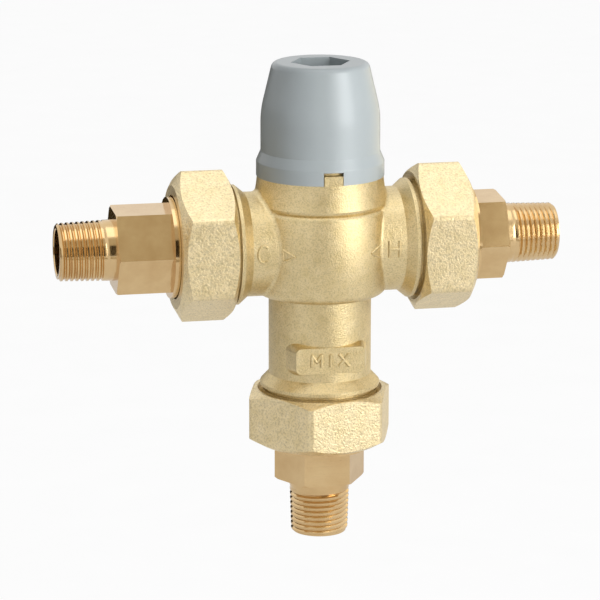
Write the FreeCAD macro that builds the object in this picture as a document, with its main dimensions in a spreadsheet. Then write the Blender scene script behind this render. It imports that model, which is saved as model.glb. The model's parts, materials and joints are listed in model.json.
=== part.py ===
"""Three-way mixing valve with a wax element, three union connections and a protective cap.

Frame: millimetres, +Z up. The origin is the centre of the mixed outlet's open end. The hot inlet
leaves along +X and the cold inlet along -X. Heights of the forged body are measured from the axis
that the two inlets share.
"""

import FreeCAD, Part
import math
import os
import re

import Sketcher

SIZES = {
    # forged body, outside
    "boss_top": 23.9,
    "boss_step": 2.0,
    "boss_spread": 1.5,
    "boss_hollow_round": 55.0,
    "crease_height": 13.2,
    "crease_depth": 0.8,
    "crease_drop": 1.9,
    "crease_step": 1.5,
    "crease_round": 2.2,
    "belly_lip": 1.2,
    "belly_narrowing": 1.3,
    "belly_foot_depth": 18.2,
    "belly_round": 53.0,
    "belly_foot_round": 3.6,
    "collar_flare": 3.2,
    "collar_step": 0.8,
    "arm_step": 2.7,
    "neck_step": 2.97,
    "collar_length": 1.2,
    "relief_length": 1.4,
    "relief_depth": 1.2,
    "male_radius": 20.2,
    "male_length": 8.6,
    "inlet_face": 41.5,
    "outlet_face": 61.3,
    "saddle_round": 1.7,
    "spigot_height": 7.1,
    "spigot_wall": 4.6,
    "lug_width": 6.6,
    "lug_height": 3.3,
    "lug_overhang": 0.2,
    "lug_bite": 0.9,
    "pad_half_width": 12.2,
    "pad_proud": 0.17,
    "pad_draft": 17.0,
    "pad_depth": 7.4,
    "pad_top": 34.2,
    "pad_height": 9.2,
    "pad_round": 1.9,
    # forged body, inside
    "chamber_radius": 15.5,
    "blind_wall": 5.5,
    "neck_wall": 5.03,
    "outlet_step": 1.4,
    "arm_wall": 6.3,
    "ledge_width": 2.5,
    "seat_gap": 2.0,
    "partition_half": 2.0,
    "shuttle_bore": 12.0,
    "ledge_thickness": 2.5,
    "outlet_step_depth": 36.0,
    "window_half_width": 8.0,
    "window_height": 6.0,
    # protective cap, heights from its rim
    "cap_rim_height": 5.1,
    "cap_rim_slope": 3.6,
    "cap_rim_wall": 2.0,
    "cap_rim_step": 1.55,
    "cap_bend_round": 34.0,
    "cap_cone_length": 17.1,
    "cap_taper": 4.05,
    "cap_top_round": 2.3,
    "cap_rim_round": 0.7,
    "cap_wall": 2.0,
    "cap_gap": 1.0,
    "cap_play": 0.3,
    "cap_notch_play": 0.2,
    "cap_notch_height": 4.55,
    "cap_socket_flats": 18.2,
    "cap_socket_depth": 12.0,
    # bonnet
    "bonnet_head_height": 5.0,
    "bonnet_roof_thickness": 2.0,
    "bonnet_cap_gap": 0.66,
    "skirt_wall": 2.1,
    "seat_overlap": 0.5,
    "bonnet_plug_length": 15.0,
    "fit_play": 0.05,
    "cut_past": 1.0,
    "tower_height": 6.0,
    "tower_wall": 4.0,
    "bonnet_ring_wire": 1.2,
    "bonnet_ring_rise": 5.0,
    "bonnet_ring_groove": 2.8,
    # spindle
    "spindle_radius": 4.0,
    "spindle_collar_radius": 7.0,
    "spindle_collar_height": 2.5,
    "screw_radius": 3.5,
    "screw_grip": 10.0,
    "spindle_reach": 6.6,
    "key_rise": 1.6,
    "key_flats": 5.4,
    "stem_ring_wire": 0.8,
    "stem_ring_groove": 2.0,
    "stem_ring_rise": 2.4,
    "stem_ring_spacing": 3.0,
    "clip_thickness": 0.9,
    "clip_groove_depth": 0.8,
    "clip_reach": 2.2,
    "clip_play": 0.2,
    "clip_mouth_half": 2.6,
    # carriage and override spring
    "carriage_play": 0.3,
    "carriage_roof": 3.0,
    "carriage_stroke_gap": 1.5,
    "carriage_length": 15.6,
    "carriage_wall": 2.6,
    "key_width": 4.0,
    "key_height": 1.2,
    "retainer_height": 1.6,
    "retainer_width": 3.1,
    "cup_height": 3.6,
    "cup_play": 0.4,
    "cup_wall": 0.9,
    "cup_floor": 1.4,
    "override_wire": 1.2,
    "override_play": 0.4,
    "override_pitch": 2.9,
    # wax element
    "piston_radius": 2.0,
    "piston_end": 0.0,
    "nose_radius": 4.0,
    "nose_top": 8.0,
    "wax_gap": 7.0,
    "capsule_radius": 6.0,
    "capsule_end": -25.0,
    "capsule_round": 2.5,
    "flange_height": 3.0,
    # shuttle
    "shuttle_half": 7.0,
    "shuttle_wall": 2.0,
    "web_half": 1.5,
    "web_hole_radius": 1.6,
    "shuttle_ring_wire": 0.7,
    "shuttle_ring_groove": 1.8,
    # return spring and its seat
    "seat_ring_height": 2.6,
    "seat_hole_radius": 2.8,
    "seat_hole_circle": 6.9,
    "seat_middle_radius": 2.2,
    "seat_play": 0.1,
    "seat_rim_width": 3.6,
    "return_wire": 1.3,
    "return_play": 0.3,
    "return_pitch": 4.6,
    # unions, heights along each port from the face of the tailpiece
    "gasket_thickness": 2.0,
    "gasket_setback": 0.4,
    "nut_back": 10.7,
    "nut_front": 8.7,
    "nut_wall": 3.22,
    "nut_face_setback": 1.9,
    "nut_back_setback": 0.3,
    "nut_hole_play": 0.5,
    "nut_corner_round": 2.4,
    "nut_slope": 1.75,
    "nut_mouth_depth": 1.7,
    "nut_mouth_width": 1.72,
    "thread_play": 0.08,
    "tail_flange_height": 4.0,
    "flange_step": 0.4,
    "flange_width": 2.2,
    "tail_shoulder_height": 6.7,
    "tail_wall": 3.6,
    "tail_hex_slope": 1.75,
    "tail_hex_cut": 0.77,
    "hot_hex_length": 10.7,
    "cold_hex_length": 19.1,
    "outlet_hex_length": 11.6,
    "pipe_radius": 10.67,
    "pipe_length": 19.7,
    "pipe_chamfer": 0.5,
    "pipe_wall": 2.77,
    "tail_mouth_radius": 11.6,
    "tail_mouth_depth": 4.0,
    "cartridge_bore": 10.4,
    "cartridge_depth": 17.5,
    # check cartridges, heights from the face of the tailpiece
    "cartridge_play": 0.1,
    "check_inset": 0.6,
    "check_wall": 2.4,
    "check_guide_height": 2.0,
    "check_hub_radius": 3.0,
    "check_spoke_width": 1.8,
    "check_seat_height": 2.0,
    "poppet_height": 1.8,
    "poppet_play": 1.2,
    "poppet_stem_radius": 1.5,
    "check_seal_thickness": 0.6,
    "seal_setback": 0.4,
    "seat_land": 1.1,
    "seal_land": 1.6,
    "check_ring_wire": 0.7,
    "check_ring_groove": 1.8,
    "check_ring_height": 12.5,
    "check_wire": 0.7,
    "check_mean_radius": 3.6,
    "check_pitch": 2.2,
}

# the way each hexagon happens to stand, in degrees about its own port
TURNS = {"cold_nut": 0.0, "hot_nut": 4.25, "outlet_nut": 48.7, "cold_tail": 27.35, "hot_tail": 35.15,
         "outlet_tail": 0.9}

# sizes and places that follow from the ones in the sheet
FOLLOW = {
    "port_height": "outlet_face + gasket_thickness + tail_foot + outlet_hex_length + pipe_length",
    "tail_foot": "tail_flange_height + tail_shoulder_height",
    # body
    "spigot_radius": "chamber_radius + spigot_wall",
    "boss_radius": "spigot_radius + boss_step",
    "boss_flare": "boss_radius + boss_spread",
    "crease_radius": "boss_flare - crease_depth",
    "belly_top_radius": "crease_radius + belly_lip",
    "belly_foot_radius": "belly_top_radius - belly_narrowing",
    "belly_top_height": "crease_height - crease_drop",
    "lug_reach": "boss_radius + lug_overhang",
    "lug_root": "spigot_radius - lug_bite",
    "relief_radius": "male_radius - relief_depth",
    "collar_radius": "male_radius + collar_step",
    "arm_radius": "collar_radius - arm_step",
    "neck_radius": "collar_radius - neck_step",
    "pad_reach": "neck_radius + pad_proud",
    "outlet_radius": "neck_radius - neck_wall",
    "outlet_mouth_radius": "outlet_radius - outlet_step",
    "inlet_radius": "arm_radius - arm_wall",
    "inlet_blind": "chamber_radius + blind_wall",
    "seat_depth": "shuttle_half + seat_gap",
    "hot_seat_height": "shuttle_half + seat_gap",
    "ledge_radius": "shuttle_bore - ledge_width",
    "spigot_top": "boss_top + spigot_height",
    # bonnet and spindle
    "head_top": "spigot_top + bonnet_head_height",
    "plug_end": "spigot_top - bonnet_plug_length",
    "bonnet_flats": "(cap_waist_radius - cap_wall - bonnet_cap_gap) * sqrt(3)",
    "bonnet_cavity_radius": "shuttle_bore - seat_overlap",
    "bonnet_skirt_radius": "bonnet_cavity_radius + skirt_wall",
    "bonnet_ring_level": "plug_end + bonnet_ring_rise",
    "bonnet_roof": "head_top - bonnet_roof_thickness",
    "tower_radius": "spindle_radius + tower_wall",
    "tower_top": "head_top + tower_height",
    "spindle_top": "tower_top + spindle_reach",
    "key_foot": "tower_top + key_rise",
    "lower_stem_ring": "bonnet_roof + stem_ring_rise",
    "upper_stem_ring": "lower_stem_ring + stem_ring_spacing",
    "collar_foot": "bonnet_roof - spindle_collar_height",
    "screw_end": "carriage_top - screw_grip",
    "clip_groove_radius": "spindle_radius - clip_groove_depth",
    "clip_radius": "spindle_radius + clip_reach",
    # carriage
    "carriage_top": "collar_foot - carriage_stroke_gap",
    "carriage_bottom": "carriage_top - carriage_length",
    "carriage_radius": "bonnet_cavity_radius - carriage_play",
    "carriage_bore": "carriage_radius - carriage_wall",
    "carriage_ceiling": "carriage_top - carriage_roof",
    "key_reach": "carriage_radius + key_height",
    "retainer_hole": "carriage_bore - retainer_width",
    "cup_foot": "carriage_bottom + retainer_height",
    "cup_radius": "carriage_bore - cup_play",
    "cup_bore": "cup_radius - cup_wall",
    "override_mean_radius": "cup_bore - override_wire / 2 - override_play",
    # element and shuttle
    "nose_bore_end": "piston_end - wax_gap",
    "shuttle_radius": "shuttle_bore - fit_play",
    "flange_foot": "-web_half - flange_height",
    "web_hole_circle": "(nose_radius + shuttle_radius - shuttle_wall) / 2",
    "seat_hub_radius": "outlet_radius - seat_rim_width",
    "return_mean_radius": "capsule_radius + return_play + return_wire / 2",
    "flange_radius": "return_mean_radius + return_wire / 2",
    # cap
    "cap_rim_radius": "spigot_radius + cap_play + cap_rim_wall",
    "cap_waist_radius": "cap_rim_radius - cap_rim_step",
    "cap_top_radius": "cap_waist_radius - cap_taper",
    "cap_height": "spindle_top - boss_top + cap_gap + cap_wall + cap_socket_depth",
    "cap_bend_height": "cap_height - cap_cone_length",
    "cap_waist_height": "cap_rim_height + cap_rim_slope",
    # unions
    "gasket_inner": "inlet_radius + gasket_setback",
    "gasket_outer": "tail_flange_radius - gasket_setback",
    "tail_flange_radius": "male_radius - flange_step",
    "tail_shoulder_radius": "tail_flange_radius - flange_width",
    "nut_hole_radius": "tail_shoulder_radius + nut_hole_play",
    "nut_bore": "male_radius + thread_play",
    "nut_flats": "2 * (nut_bore + nut_wall)",
    "nut_face_radius": "nut_flats / 2 - nut_face_setback",
    "nut_back_radius": "nut_flats / 2 - nut_back_setback",
    "nut_mouth_radius": "nut_bore + nut_mouth_width",
    "tail_flats": "2 * (cartridge_bore + tail_wall)",
    "tail_hex_round": "tail_flats / sqrt(3) - tail_hex_cut",
    "tail_bore": "pipe_radius - pipe_wall",
    # check cartridges
    "cartridge_radius": "cartridge_bore - cartridge_play",
    "cartridge_inner": "cartridge_radius - check_wall",
    "guide_top": "check_inset + check_guide_height",
    "seat_face": "cartridge_depth - check_seat_height",
    "poppet_face": "seat_face - check_seal_thickness",
    "poppet_back": "poppet_face - poppet_height",
    "poppet_radius": "cartridge_inner - poppet_play",
    "check_seat_hole": "check_seal_outer - seat_land",
    "check_seal_outer": "poppet_radius - seal_setback",
    "check_seal_inner": "check_seat_hole - seal_land",
}

Vector = FreeCAD.Vector
LEFT = 1
RIGHT = -1
NODES = []

doc = FreeCAD.newDocument("mixing_valve")
sheet = doc.addObject("Spreadsheet::Sheet", "Sizes")
for row, (alias, number) in enumerate(SIZES.items(), start=1):
    sheet.set(f"A{row}", alias)
    sheet.set(f"B{row}", str(number))
    sheet.setAlias(f"B{row}", alias)
doc.recompute()


def bound(text):
    """Spell out an expression for the sheet: its own names, and in brackets what follows from them."""
    def spell(found):
        name = found.group()
        return f"({bound(FOLLOW[name])})" if name in FOLLOW else f"Sizes.{name}"
    return re.sub(r"[a-z]+(?:_[a-z]+)+", spell, str(text))


def value(owner, text):
    """The number that an expression has now."""
    return float(owner.evalExpression(bound(text)))


def new_body(label):
    """An empty body whose label is its node's name."""
    body = doc.addObject("PartDesign::Body", label)
    body.Label = label
    NODES.append(body)
    return body


def new_sketch(body, name, plane, lift="0"):
    """A sketch on one of the body's own planes, lifted off it by an expression."""
    sketch = body.newObject("Sketcher::SketchObject", f"{body.Label}_{name}")
    origin = next(item for item in body.Origin.OriginFeatures if item.Role == plane)
    sketch.AttachmentSupport = (origin, [""])
    sketch.MapMode = "FlatFace"
    sketch.setExpression(".AttachmentOffset.Base.z", bound(lift))
    return sketch


def tie(sketch, geometry, point, x, y):
    """Hold a point of the sketch at two expressions."""
    for kind, text in (("DistanceX", x), ("DistanceY", y)):
        constraint = Sketcher.Constraint(kind, -1, 1, geometry, point, value(sketch, text))
        index = sketch.addConstraint(constraint)
        sketch.setExpression(f"Constraints[{index}]", bound(text))


def draw(sketch, corners):
    """Close an outline through corners (x, y). A corner (x, y, radius, side) starts an arc."""
    points = [Vector(value(sketch, corner[0]), value(sketch, corner[1]), 0) for corner in corners]
    ends = []
    for index, corner in enumerate(corners):
        start = points[index]
        stop = points[(index + 1) % len(points)]
        if len(corner) == 2:
            geometry = sketch.addGeometry(Part.LineSegment(start, stop), False)
            ends.append((geometry, 1, 2))
            continue
        radius = value(sketch, corner[2])
        side = corner[3]
        chord = stop - start
        rise = math.sqrt(radius**2 - (chord.Length / 2) ** 2)
        normal = Vector(-chord.y, chord.x, 0).normalize()
        centre = (start + stop) / 2 + normal * rise * side
        first, last = (start, stop) if side == LEFT else (stop, start)
        angles = [math.atan2(point.y - centre.y, point.x - centre.x) for point in (first, last)]
        circle = Part.Circle(centre, Vector(0, 0, 1), radius)
        geometry = sketch.addGeometry(Part.ArcOfCircle(circle, *angles), False)
        ends.append((geometry, 1, 2) if side == LEFT else (geometry, 2, 1))
    for index, corner in enumerate(corners):
        geometry, first, last = ends[index]
        following = ends[(index + 1) % len(ends)]
        sketch.addConstraint(Sketcher.Constraint("Coincident", geometry, last, following[0], following[1]))
        tie(sketch, geometry, first, corner[0], corner[1])
        if len(corner) > 2:
            held = sketch.addConstraint(Sketcher.Constraint("Radius", geometry, value(sketch, corner[2])))
            sketch.setExpression(f"Constraints[{held}]", bound(corner[2]))


def circle(sketch, x, y, radius):
    """A circle held at (x, y) with a bound radius."""
    centre = Vector(value(sketch, x), value(sketch, y), 0)
    geometry = sketch.addGeometry(Part.Circle(centre, Vector(0, 0, 1), value(sketch, radius)), False)
    tie(sketch, geometry, 3, x, y)
    held = sketch.addConstraint(Sketcher.Constraint("Radius", geometry, value(sketch, radius)))
    sketch.setExpression(f"Constraints[{held}]", bound(radius))


def turn(body, name, corners, cut=False, axis="V_Axis"):
    """Revolve an outline in the XZ plane about the body's Z axis, or H_Axis for its X axis."""
    sketch = new_sketch(body, name, "XZ_Plane")
    draw(sketch, corners)
    kind = "PartDesign::Groove" if cut else "PartDesign::Revolution"
    feature = body.newObject(kind, f"{body.Label}_{name}_turned")
    feature.Profile = sketch
    feature.ReferenceAxis = (sketch, [axis])
    feature.Angle = 360
    doc.recompute()
    return feature


def extrude(body, name, drawing, length, lift="0", plane="XY_Plane", cut=False, back=False):
    """Pad or pocket a sketch that the drawing function fills."""
    sketch = new_sketch(body, name, plane, lift)
    drawing(sketch)
    kind = "PartDesign::Pocket" if cut else "PartDesign::Pad"
    feature = body.newObject(kind, f"{body.Label}_{name}_run")
    feature.Profile = sketch
    feature.Reversed = back
    feature.setExpression("Length", bound(length))
    before = 0.0 if body.Shape.isNull() else body.Shape.Volume
    doc.recompute()
    if abs(body.Shape.Volume - before) < 1e-3:
        raise RuntimeError(f"{feature.Name} changes nothing")
    return feature


def hexagon(flats):
    """Corners of a hexagon across the given flats, with two corners on the X axis."""
    reach = f"({flats}) / sqrt(3)"
    near = f"({flats}) / sqrt(3) / 2"
    half = f"({flats}) / 2"
    return [(reach, "0"), (near, half), (f"-{near}", half), (f"-{reach}", "0"), (f"-{near}", f"-{half}"),
            (near, f"-{half}")]


def box_corners(left, low, right, high):
    """Corners of a rectangle."""
    return [(left, low), (right, low), (right, high), (left, high)]


def rounded_box(half, low, high, radius):
    """Corners of a rectangle about the sketch's upright axis, with round corners."""
    inner = f"{half} - ({radius})"
    return [(inner, low, radius, LEFT), (half, f"{low} + {radius}"),
            (half, f"{high} - ({radius})", radius, LEFT), (inner, high),
            (f"-({inner})", high, radius, LEFT), (f"-{half}", f"{high} - ({radius})"),
            (f"-{half}", f"{low} + {radius}", radius, LEFT), (f"-({inner})", low)]


def find_rings(body, rings):
    """Names of the circular edges at (radius, height) pairs about the body's Z axis."""
    names = []
    for radius, height in rings:
        wanted = (value(body, radius), value(body, height))
        for index, edge in enumerate(body.Shape.Edges, start=1):
            if not isinstance(edge.Curve, Part.Circle) or abs(edge.Curve.Axis.z) < 0.999:
                continue
            found = (edge.Curve.Radius, edge.Curve.Center.z)
            if math.dist(found, wanted) < 1e-3:
                names.append(f"Edge{index}")
    return names


def find_saddles(body, radius):
    """Names of the edges where a cylinder of this radius about the X axis runs into the column."""
    names = []
    for index, edge in enumerate(body.Shape.Edges, start=1):
        faces = body.Shape.ancestorsOfType(edge, Part.Face)
        arms = [face for face in faces if isinstance(face.Surface, Part.Cylinder)
                and abs(face.Surface.Axis.x) > 0.999
                and abs(face.Surface.Radius - value(body, radius)) < 1e-3]
        if len(arms) == 1 and len(faces) == 2 and not isinstance(edge.Curve, Part.Circle):
            names.append(f"Edge{index}")
    return names


def round_edges(body, name, names, radius):
    """Fillet the named edges of the body's last feature."""
    if not names:
        raise RuntimeError(f"{body.Label} has no edge for {name}")
    base = body.Tip
    fillet = body.newObject("PartDesign::Fillet", f"{body.Label}_{name}")
    fillet.Base = (base, names)
    fillet.setExpression("Radius", bound(radius))
    doc.recompute()
    return fillet


def ring(label, mean_radius, wire_radius, height):
    """An O-ring about the Z axis."""
    body = new_body(label)
    sketch = new_sketch(body, "section", "XZ_Plane")
    circle(sketch, mean_radius, height, wire_radius)
    feature = body.newObject("PartDesign::Revolution", f"{label}_turned")
    feature.Profile = sketch
    feature.ReferenceAxis = (sketch, ["V_Axis"])
    feature.Angle = 360
    return body


def coil(label, mean_radius, wire_radius, foot, top, pitch):
    """A compression spring about the Z axis whose wire spans from foot to top."""
    body = new_body(label)
    sketch = new_sketch(body, "wire", "XZ_Plane")
    circle(sketch, mean_radius, f"{foot} + {wire_radius}", wire_radius)
    feature = body.newObject("PartDesign::AdditiveHelix", f"{label}_coils")
    feature.Profile = sketch
    feature.ReferenceAxis = (sketch, ["V_Axis"])
    feature.Mode = 0
    feature.setExpression("Pitch", bound(pitch))
    feature.setExpression("Height", bound(f"{top} - ({foot}) - 2 * ({wire_radius})"))
    doc.recompute()
    return body


def place(body, port, spin=0.0):
    """Put a body on the valve: 'axis' about the inlets' height, or out along one of the ports."""
    about = FreeCAD.Rotation(Vector(0, 0, 1), spin)
    turns = {
        "axis": FreeCAD.Rotation(),
        "hot": FreeCAD.Rotation(Vector(0, 1, 0), 90),
        "cold": FreeCAD.Rotation(Vector(0, 1, 0), -90),
        "outlet": FreeCAD.Rotation(Vector(1, 0, 0), 180),
    }
    body.Placement = FreeCAD.Placement(Vector(0, 0, 0), turns[port] * about)
    along = {"axis": "0", "hot": "inlet_face + gasket_thickness", "cold": "-inlet_face - gasket_thickness",
             "outlet": "0"}
    below = "-outlet_face - gasket_thickness" if port == "outlet" else "0"
    body.setExpression(".Placement.Base.x", bound(along[port]))
    body.setExpression(".Placement.Base.z", bound(f"port_height + ({below})"))
    return body


def valve_body():
    """The forged brass tee: boss, barrel belly, neck, two arms and its machined chambers."""
    body = new_body("valve_body")
    neck_foot = "outlet_face - male_length - relief_length - collar_length - collar_flare"
    turn(body, "column", [
        ("0", "spigot_top"), ("0", "-outlet_face"), ("male_radius", "-outlet_face"),
        ("male_radius", "-outlet_face + male_length"), ("relief_radius", "-outlet_face + male_length"),
        ("relief_radius", "-outlet_face + male_length + relief_length"),
        ("collar_radius", "-outlet_face + male_length + relief_length"),
        ("collar_radius", "-outlet_face + male_length + relief_length + collar_length"),
        ("neck_radius", f"-({neck_foot})"), ("neck_radius", "-belly_foot_depth"),
        ("belly_foot_radius", "-belly_foot_depth", "belly_round", LEFT),
        ("belly_top_radius", "belly_top_height", "crease_round", LEFT),
        ("crease_radius", "crease_height", "crease_round", LEFT),
        ("boss_flare", "crease_height + crease_step", "boss_hollow_round", RIGHT),
        ("boss_radius", "boss_top"), ("spigot_radius", "boss_top"), ("spigot_radius", "spigot_top"),
    ])
    round_edges(body, "belly_foot", find_rings(body, [("belly_foot_radius", "-belly_foot_depth")]),
                "belly_foot_round")
    arm_end = "inlet_face - male_length - relief_length - collar_length - collar_flare"
    side = [
        ("inlet_face", "male_radius"), ("inlet_face - male_length", "male_radius"),
        ("inlet_face - male_length", "relief_radius"),
        ("inlet_face - male_length - relief_length", "relief_radius"),
        ("inlet_face - male_length - relief_length", "collar_radius"),
        ("inlet_face - male_length - relief_length - collar_length", "collar_radius"),
        (arm_end, "arm_radius"),
    ]
    mirrored = [(f"-({x})", y) for x, y in reversed(side)]
    turn(body, "arms", [("inlet_face", "0"), *side, *mirrored, ("-inlet_face", "0")], axis="H_Axis")
    pad = extrude(body, "pad", lambda sketch: draw(sketch, rounded_box(
        "pad_half_width", "-pad_top - pad_height", "-pad_top", "pad_round")),
        "pad_depth", lift="pad_reach", plane="XZ_Plane", back=True)
    pad.setExpression("TaperAngle", bound("pad_draft"))
    extrude(body, "lug", lambda sketch: draw(sketch, box_corners(
        "-lug_width / 2", "-lug_reach", "lug_width / 2", "-lug_root")), "lug_height", lift="boss_top")
    turn(body, "bore", [
        ("0", "spigot_top"), ("0", "-outlet_face"), ("outlet_mouth_radius", "-outlet_face"),
        ("outlet_mouth_radius", "-outlet_step_depth"), ("outlet_radius", "-outlet_step_depth"),
        ("outlet_radius", "-seat_depth - ledge_thickness"), ("ledge_radius", "-seat_depth - ledge_thickness"),
        ("ledge_radius", "-seat_depth"), ("chamber_radius", "-seat_depth"),
        ("chamber_radius", "-partition_half"), ("shuttle_bore", "-partition_half"),
        ("shuttle_bore", "partition_half"), ("chamber_radius", "partition_half"),
        ("chamber_radius", "spigot_top"),
    ], cut=True)
    for name, sign in (("hot_port", ""), ("cold_port", "-")):
        turn(body, name, [(f"{sign}inlet_face", "0"), (f"{sign}inlet_face", "inlet_radius"),
                          (f"{sign}inlet_blind", "inlet_radius"), (f"{sign}inlet_blind", "0")],
             cut=True, axis="H_Axis")
    for name, low, back in (("hot_window", "partition_half + fit_play", True),
                            ("cold_window", "-partition_half - fit_play - window_height", False)):
        extrude(body, name, lambda sketch: draw(sketch, box_corners(
            "-window_half_width", low, "window_half_width", f"{low} + window_height")),
            "inlet_blind + fit_play", plane="YZ_Plane", cut=True, back=back)
    round_edges(body, "saddles", find_saddles(body, "arm_radius"), "saddle_round")
    return place(body, "axis")


def protective_cap():
    """The moulded cap: rim, waist, cone, hexagon socket in its top and notch over the lug."""
    body = new_body("protective_cap")
    inner_top = "cap_height - cap_wall"
    tube = "cap_socket_flats / sqrt(3) + cap_wall"
    socket_floor = "cap_height - cap_socket_depth - cap_wall"
    slope = "(cap_waist_radius - cap_top_radius) / (cap_height - cap_bend_height)"
    turn(body, "shell", [
        ("spigot_radius + cap_play", "0"), ("cap_rim_radius", "0"), ("cap_rim_radius", "cap_rim_height"),
        ("cap_waist_radius", "cap_waist_height"), ("cap_waist_radius", "cap_bend_height"),
        ("cap_top_radius", "cap_height"), ("0", "cap_height"), ("0", socket_floor), (tube, socket_floor),
        (tube, inner_top), (f"cap_top_radius - cap_wall + {slope} * cap_wall", inner_top),
        ("cap_waist_radius - cap_wall", "cap_bend_height"),
        ("cap_waist_radius - cap_wall", "cap_waist_height"),
        ("spigot_radius + cap_play", "spigot_height + cap_play"),
    ])
    round_edges(body, "bend", find_rings(body, [("cap_waist_radius", "cap_bend_height")]), "cap_bend_round")
    round_edges(body, "shoulder", find_rings(body, [("cap_top_radius", "cap_height")]), "cap_top_round")
    round_edges(body, "rim", find_rings(body, [("cap_rim_radius", "cap_rim_height")]), "cap_rim_round")
    extrude(body, "socket", lambda sketch: draw(sketch, hexagon("cap_socket_flats")), "cap_socket_depth",
            lift="cap_height", cut=True)
    extrude(body, "notch", lambda sketch: draw(sketch, box_corners(
        "-lug_width / 2 - cap_notch_play", "0", "lug_width / 2 + cap_notch_play", "cap_notch_height")),
        "cap_rim_radius + cap_wall", plane="XZ_Plane", cut=True, back=True)
    place(body, "axis")
    body.setExpression(".Placement.Base.z", bound("port_height + boss_top"))
    return body


def bonnet():
    """The brass plug that closes the boss and carries the spindle, with the hot seat at its foot."""
    body = new_body("bonnet")
    plug = "chamber_radius - fit_play"
    groove_half = "bonnet_ring_groove / 2"
    groove = "chamber_radius - 2 * fit_play - 2 * bonnet_ring_wire"
    turn(body, "plug", [
        ("spindle_radius + fit_play", "bonnet_roof"), ("bonnet_cavity_radius", "bonnet_roof"),
        ("bonnet_cavity_radius", "hot_seat_height"), ("bonnet_skirt_radius", "hot_seat_height"),
        ("bonnet_skirt_radius", "plug_end"), (plug, "plug_end"), (plug, f"bonnet_ring_level - {groove_half}"),
        (groove, f"bonnet_ring_level - {groove_half}"), (groove, f"bonnet_ring_level + {groove_half}"),
        (plug, f"bonnet_ring_level + {groove_half}"), (plug, "spigot_top"),
        ("bonnet_flats / 2", "spigot_top"), ("bonnet_flats / 2", "head_top"), ("tower_radius", "head_top"),
        ("tower_radius", "tower_top"), ("spindle_radius + fit_play", "tower_top"),
    ])

    def head(sketch):
        draw(sketch, hexagon("bonnet_flats"))
        circle(sketch, "0", "0", "bonnet_cavity_radius + cap_wall")

    extrude(body, "head", head, "bonnet_head_height", lift="spigot_top")
    extrude(body, "keyways", lambda sketch: draw(sketch, box_corners(
        "-key_reach - carriage_play", "-key_width / 2 - carriage_play",
        "key_reach + carriage_play", "key_width / 2 + carriage_play")),
        "bonnet_roof - hot_seat_height", lift="bonnet_roof", cut=True)
    return place(body, "axis")


def spindle():
    """The stem with its collar, screw, clip groove, two ring grooves and key."""
    body = new_body("spindle")
    ring_floor = "spindle_radius - 2 * stem_ring_wire"
    half = "stem_ring_groove / 2"
    stem = "spindle_radius"
    clip_foot = "tower_top + clip_play"
    clip_head = f"{clip_foot} + clip_thickness + clip_play"
    turn(body, "stem", [
        ("0", "screw_end"), ("screw_radius", "screw_end"),
        ("screw_radius", "collar_foot"),
        ("spindle_collar_radius", "collar_foot"),
        ("spindle_collar_radius", "bonnet_roof"), (stem, "bonnet_roof"),
        (stem, f"lower_stem_ring - {half}"), (ring_floor, f"lower_stem_ring - {half}"),
        (ring_floor, f"lower_stem_ring + {half}"), (stem, f"lower_stem_ring + {half}"),
        (stem, f"upper_stem_ring - {half}"), (ring_floor, f"upper_stem_ring - {half}"),
        (ring_floor, f"upper_stem_ring + {half}"), (stem, f"upper_stem_ring + {half}"),
        (stem, clip_foot), ("clip_groove_radius", clip_foot), ("clip_groove_radius", clip_head),
        (stem, clip_head), (stem, "spindle_top"), ("0", "spindle_top"),
    ])

    def key_waste(sketch):
        circle(sketch, "0", "0", "spindle_radius + cut_past")
        draw(sketch, box_corners("-key_flats / 2", "-key_flats / 2", "key_flats / 2", "key_flats / 2"))

    extrude(body, "key", key_waste, "spindle_top - key_foot", lift="spindle_top", cut=True)
    return place(body, "axis")


def spindle_clip():
    """The open retaining clip that sits in the stem's groove on top of the tower."""
    body = new_body("spindle_clip")
    foot = "tower_top + clip_play"

    def outline(sketch):
        circle(sketch, "0", "0", "clip_radius")
        circle(sketch, "0", "0", "clip_groove_radius + fit_play")

    extrude(body, "disc", outline, "clip_thickness", lift=foot)
    extrude(body, "mouth", lambda sketch: draw(sketch, box_corners(
        "-clip_mouth_half", "-clip_radius - clip_play", "clip_mouth_half", "0")),
        "clip_thickness", lift=f"{foot} + clip_thickness", cut=True)
    return place(body, "axis")


def carriage():
    """The keyed travelling nut that the spindle screws up and down inside the bonnet."""
    body = new_body("carriage")
    turn(body, "barrel", box_corners("0", "carriage_bottom", "carriage_radius", "carriage_top"))
    extrude(body, "keys", lambda sketch: draw(sketch, box_corners(
        "-key_reach", "-key_width / 2", "key_reach", "key_width / 2")),
        "carriage_top - carriage_bottom", lift="carriage_bottom")
    turn(body, "bores", [
        ("0", "carriage_bottom"), ("carriage_bore", "carriage_bottom"), ("carriage_bore", "carriage_ceiling"),
        ("screw_radius + fit_play", "carriage_ceiling"), ("screw_radius + fit_play", "carriage_top"),
        ("0", "carriage_top"),
    ], cut=True)
    return place(body, "axis")


def carriage_retainer():
    """The ring in the carriage's mouth that holds the override spring and its cup."""
    body = new_body("carriage_retainer")
    turn(body, "ring", box_corners("retainer_hole", "carriage_bottom", "carriage_bore - fit_play", "cup_foot"))
    return place(body, "axis")


def override_cup():
    """The cup between the override spring and the element's piston."""
    body = new_body("override_cup")
    turn(body, "cup", [("0", "cup_foot"), ("cup_radius", "cup_foot"), ("cup_radius", "cup_foot + cup_height"),
                       ("cup_bore + cup_floor / 2", "cup_foot + cup_height"),
                       ("cup_bore + cup_floor / 2", "cup_foot + cup_floor"),
                       ("0", "cup_foot + cup_floor")])
    return place(body, "axis")


def element_piston():
    """The pin that the wax pushes out of the element against the override cup."""
    body = new_body("element_piston")
    turn(body, "pin", box_corners("0", "piston_end", "piston_radius", "cup_foot"))
    return place(body, "axis")


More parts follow.
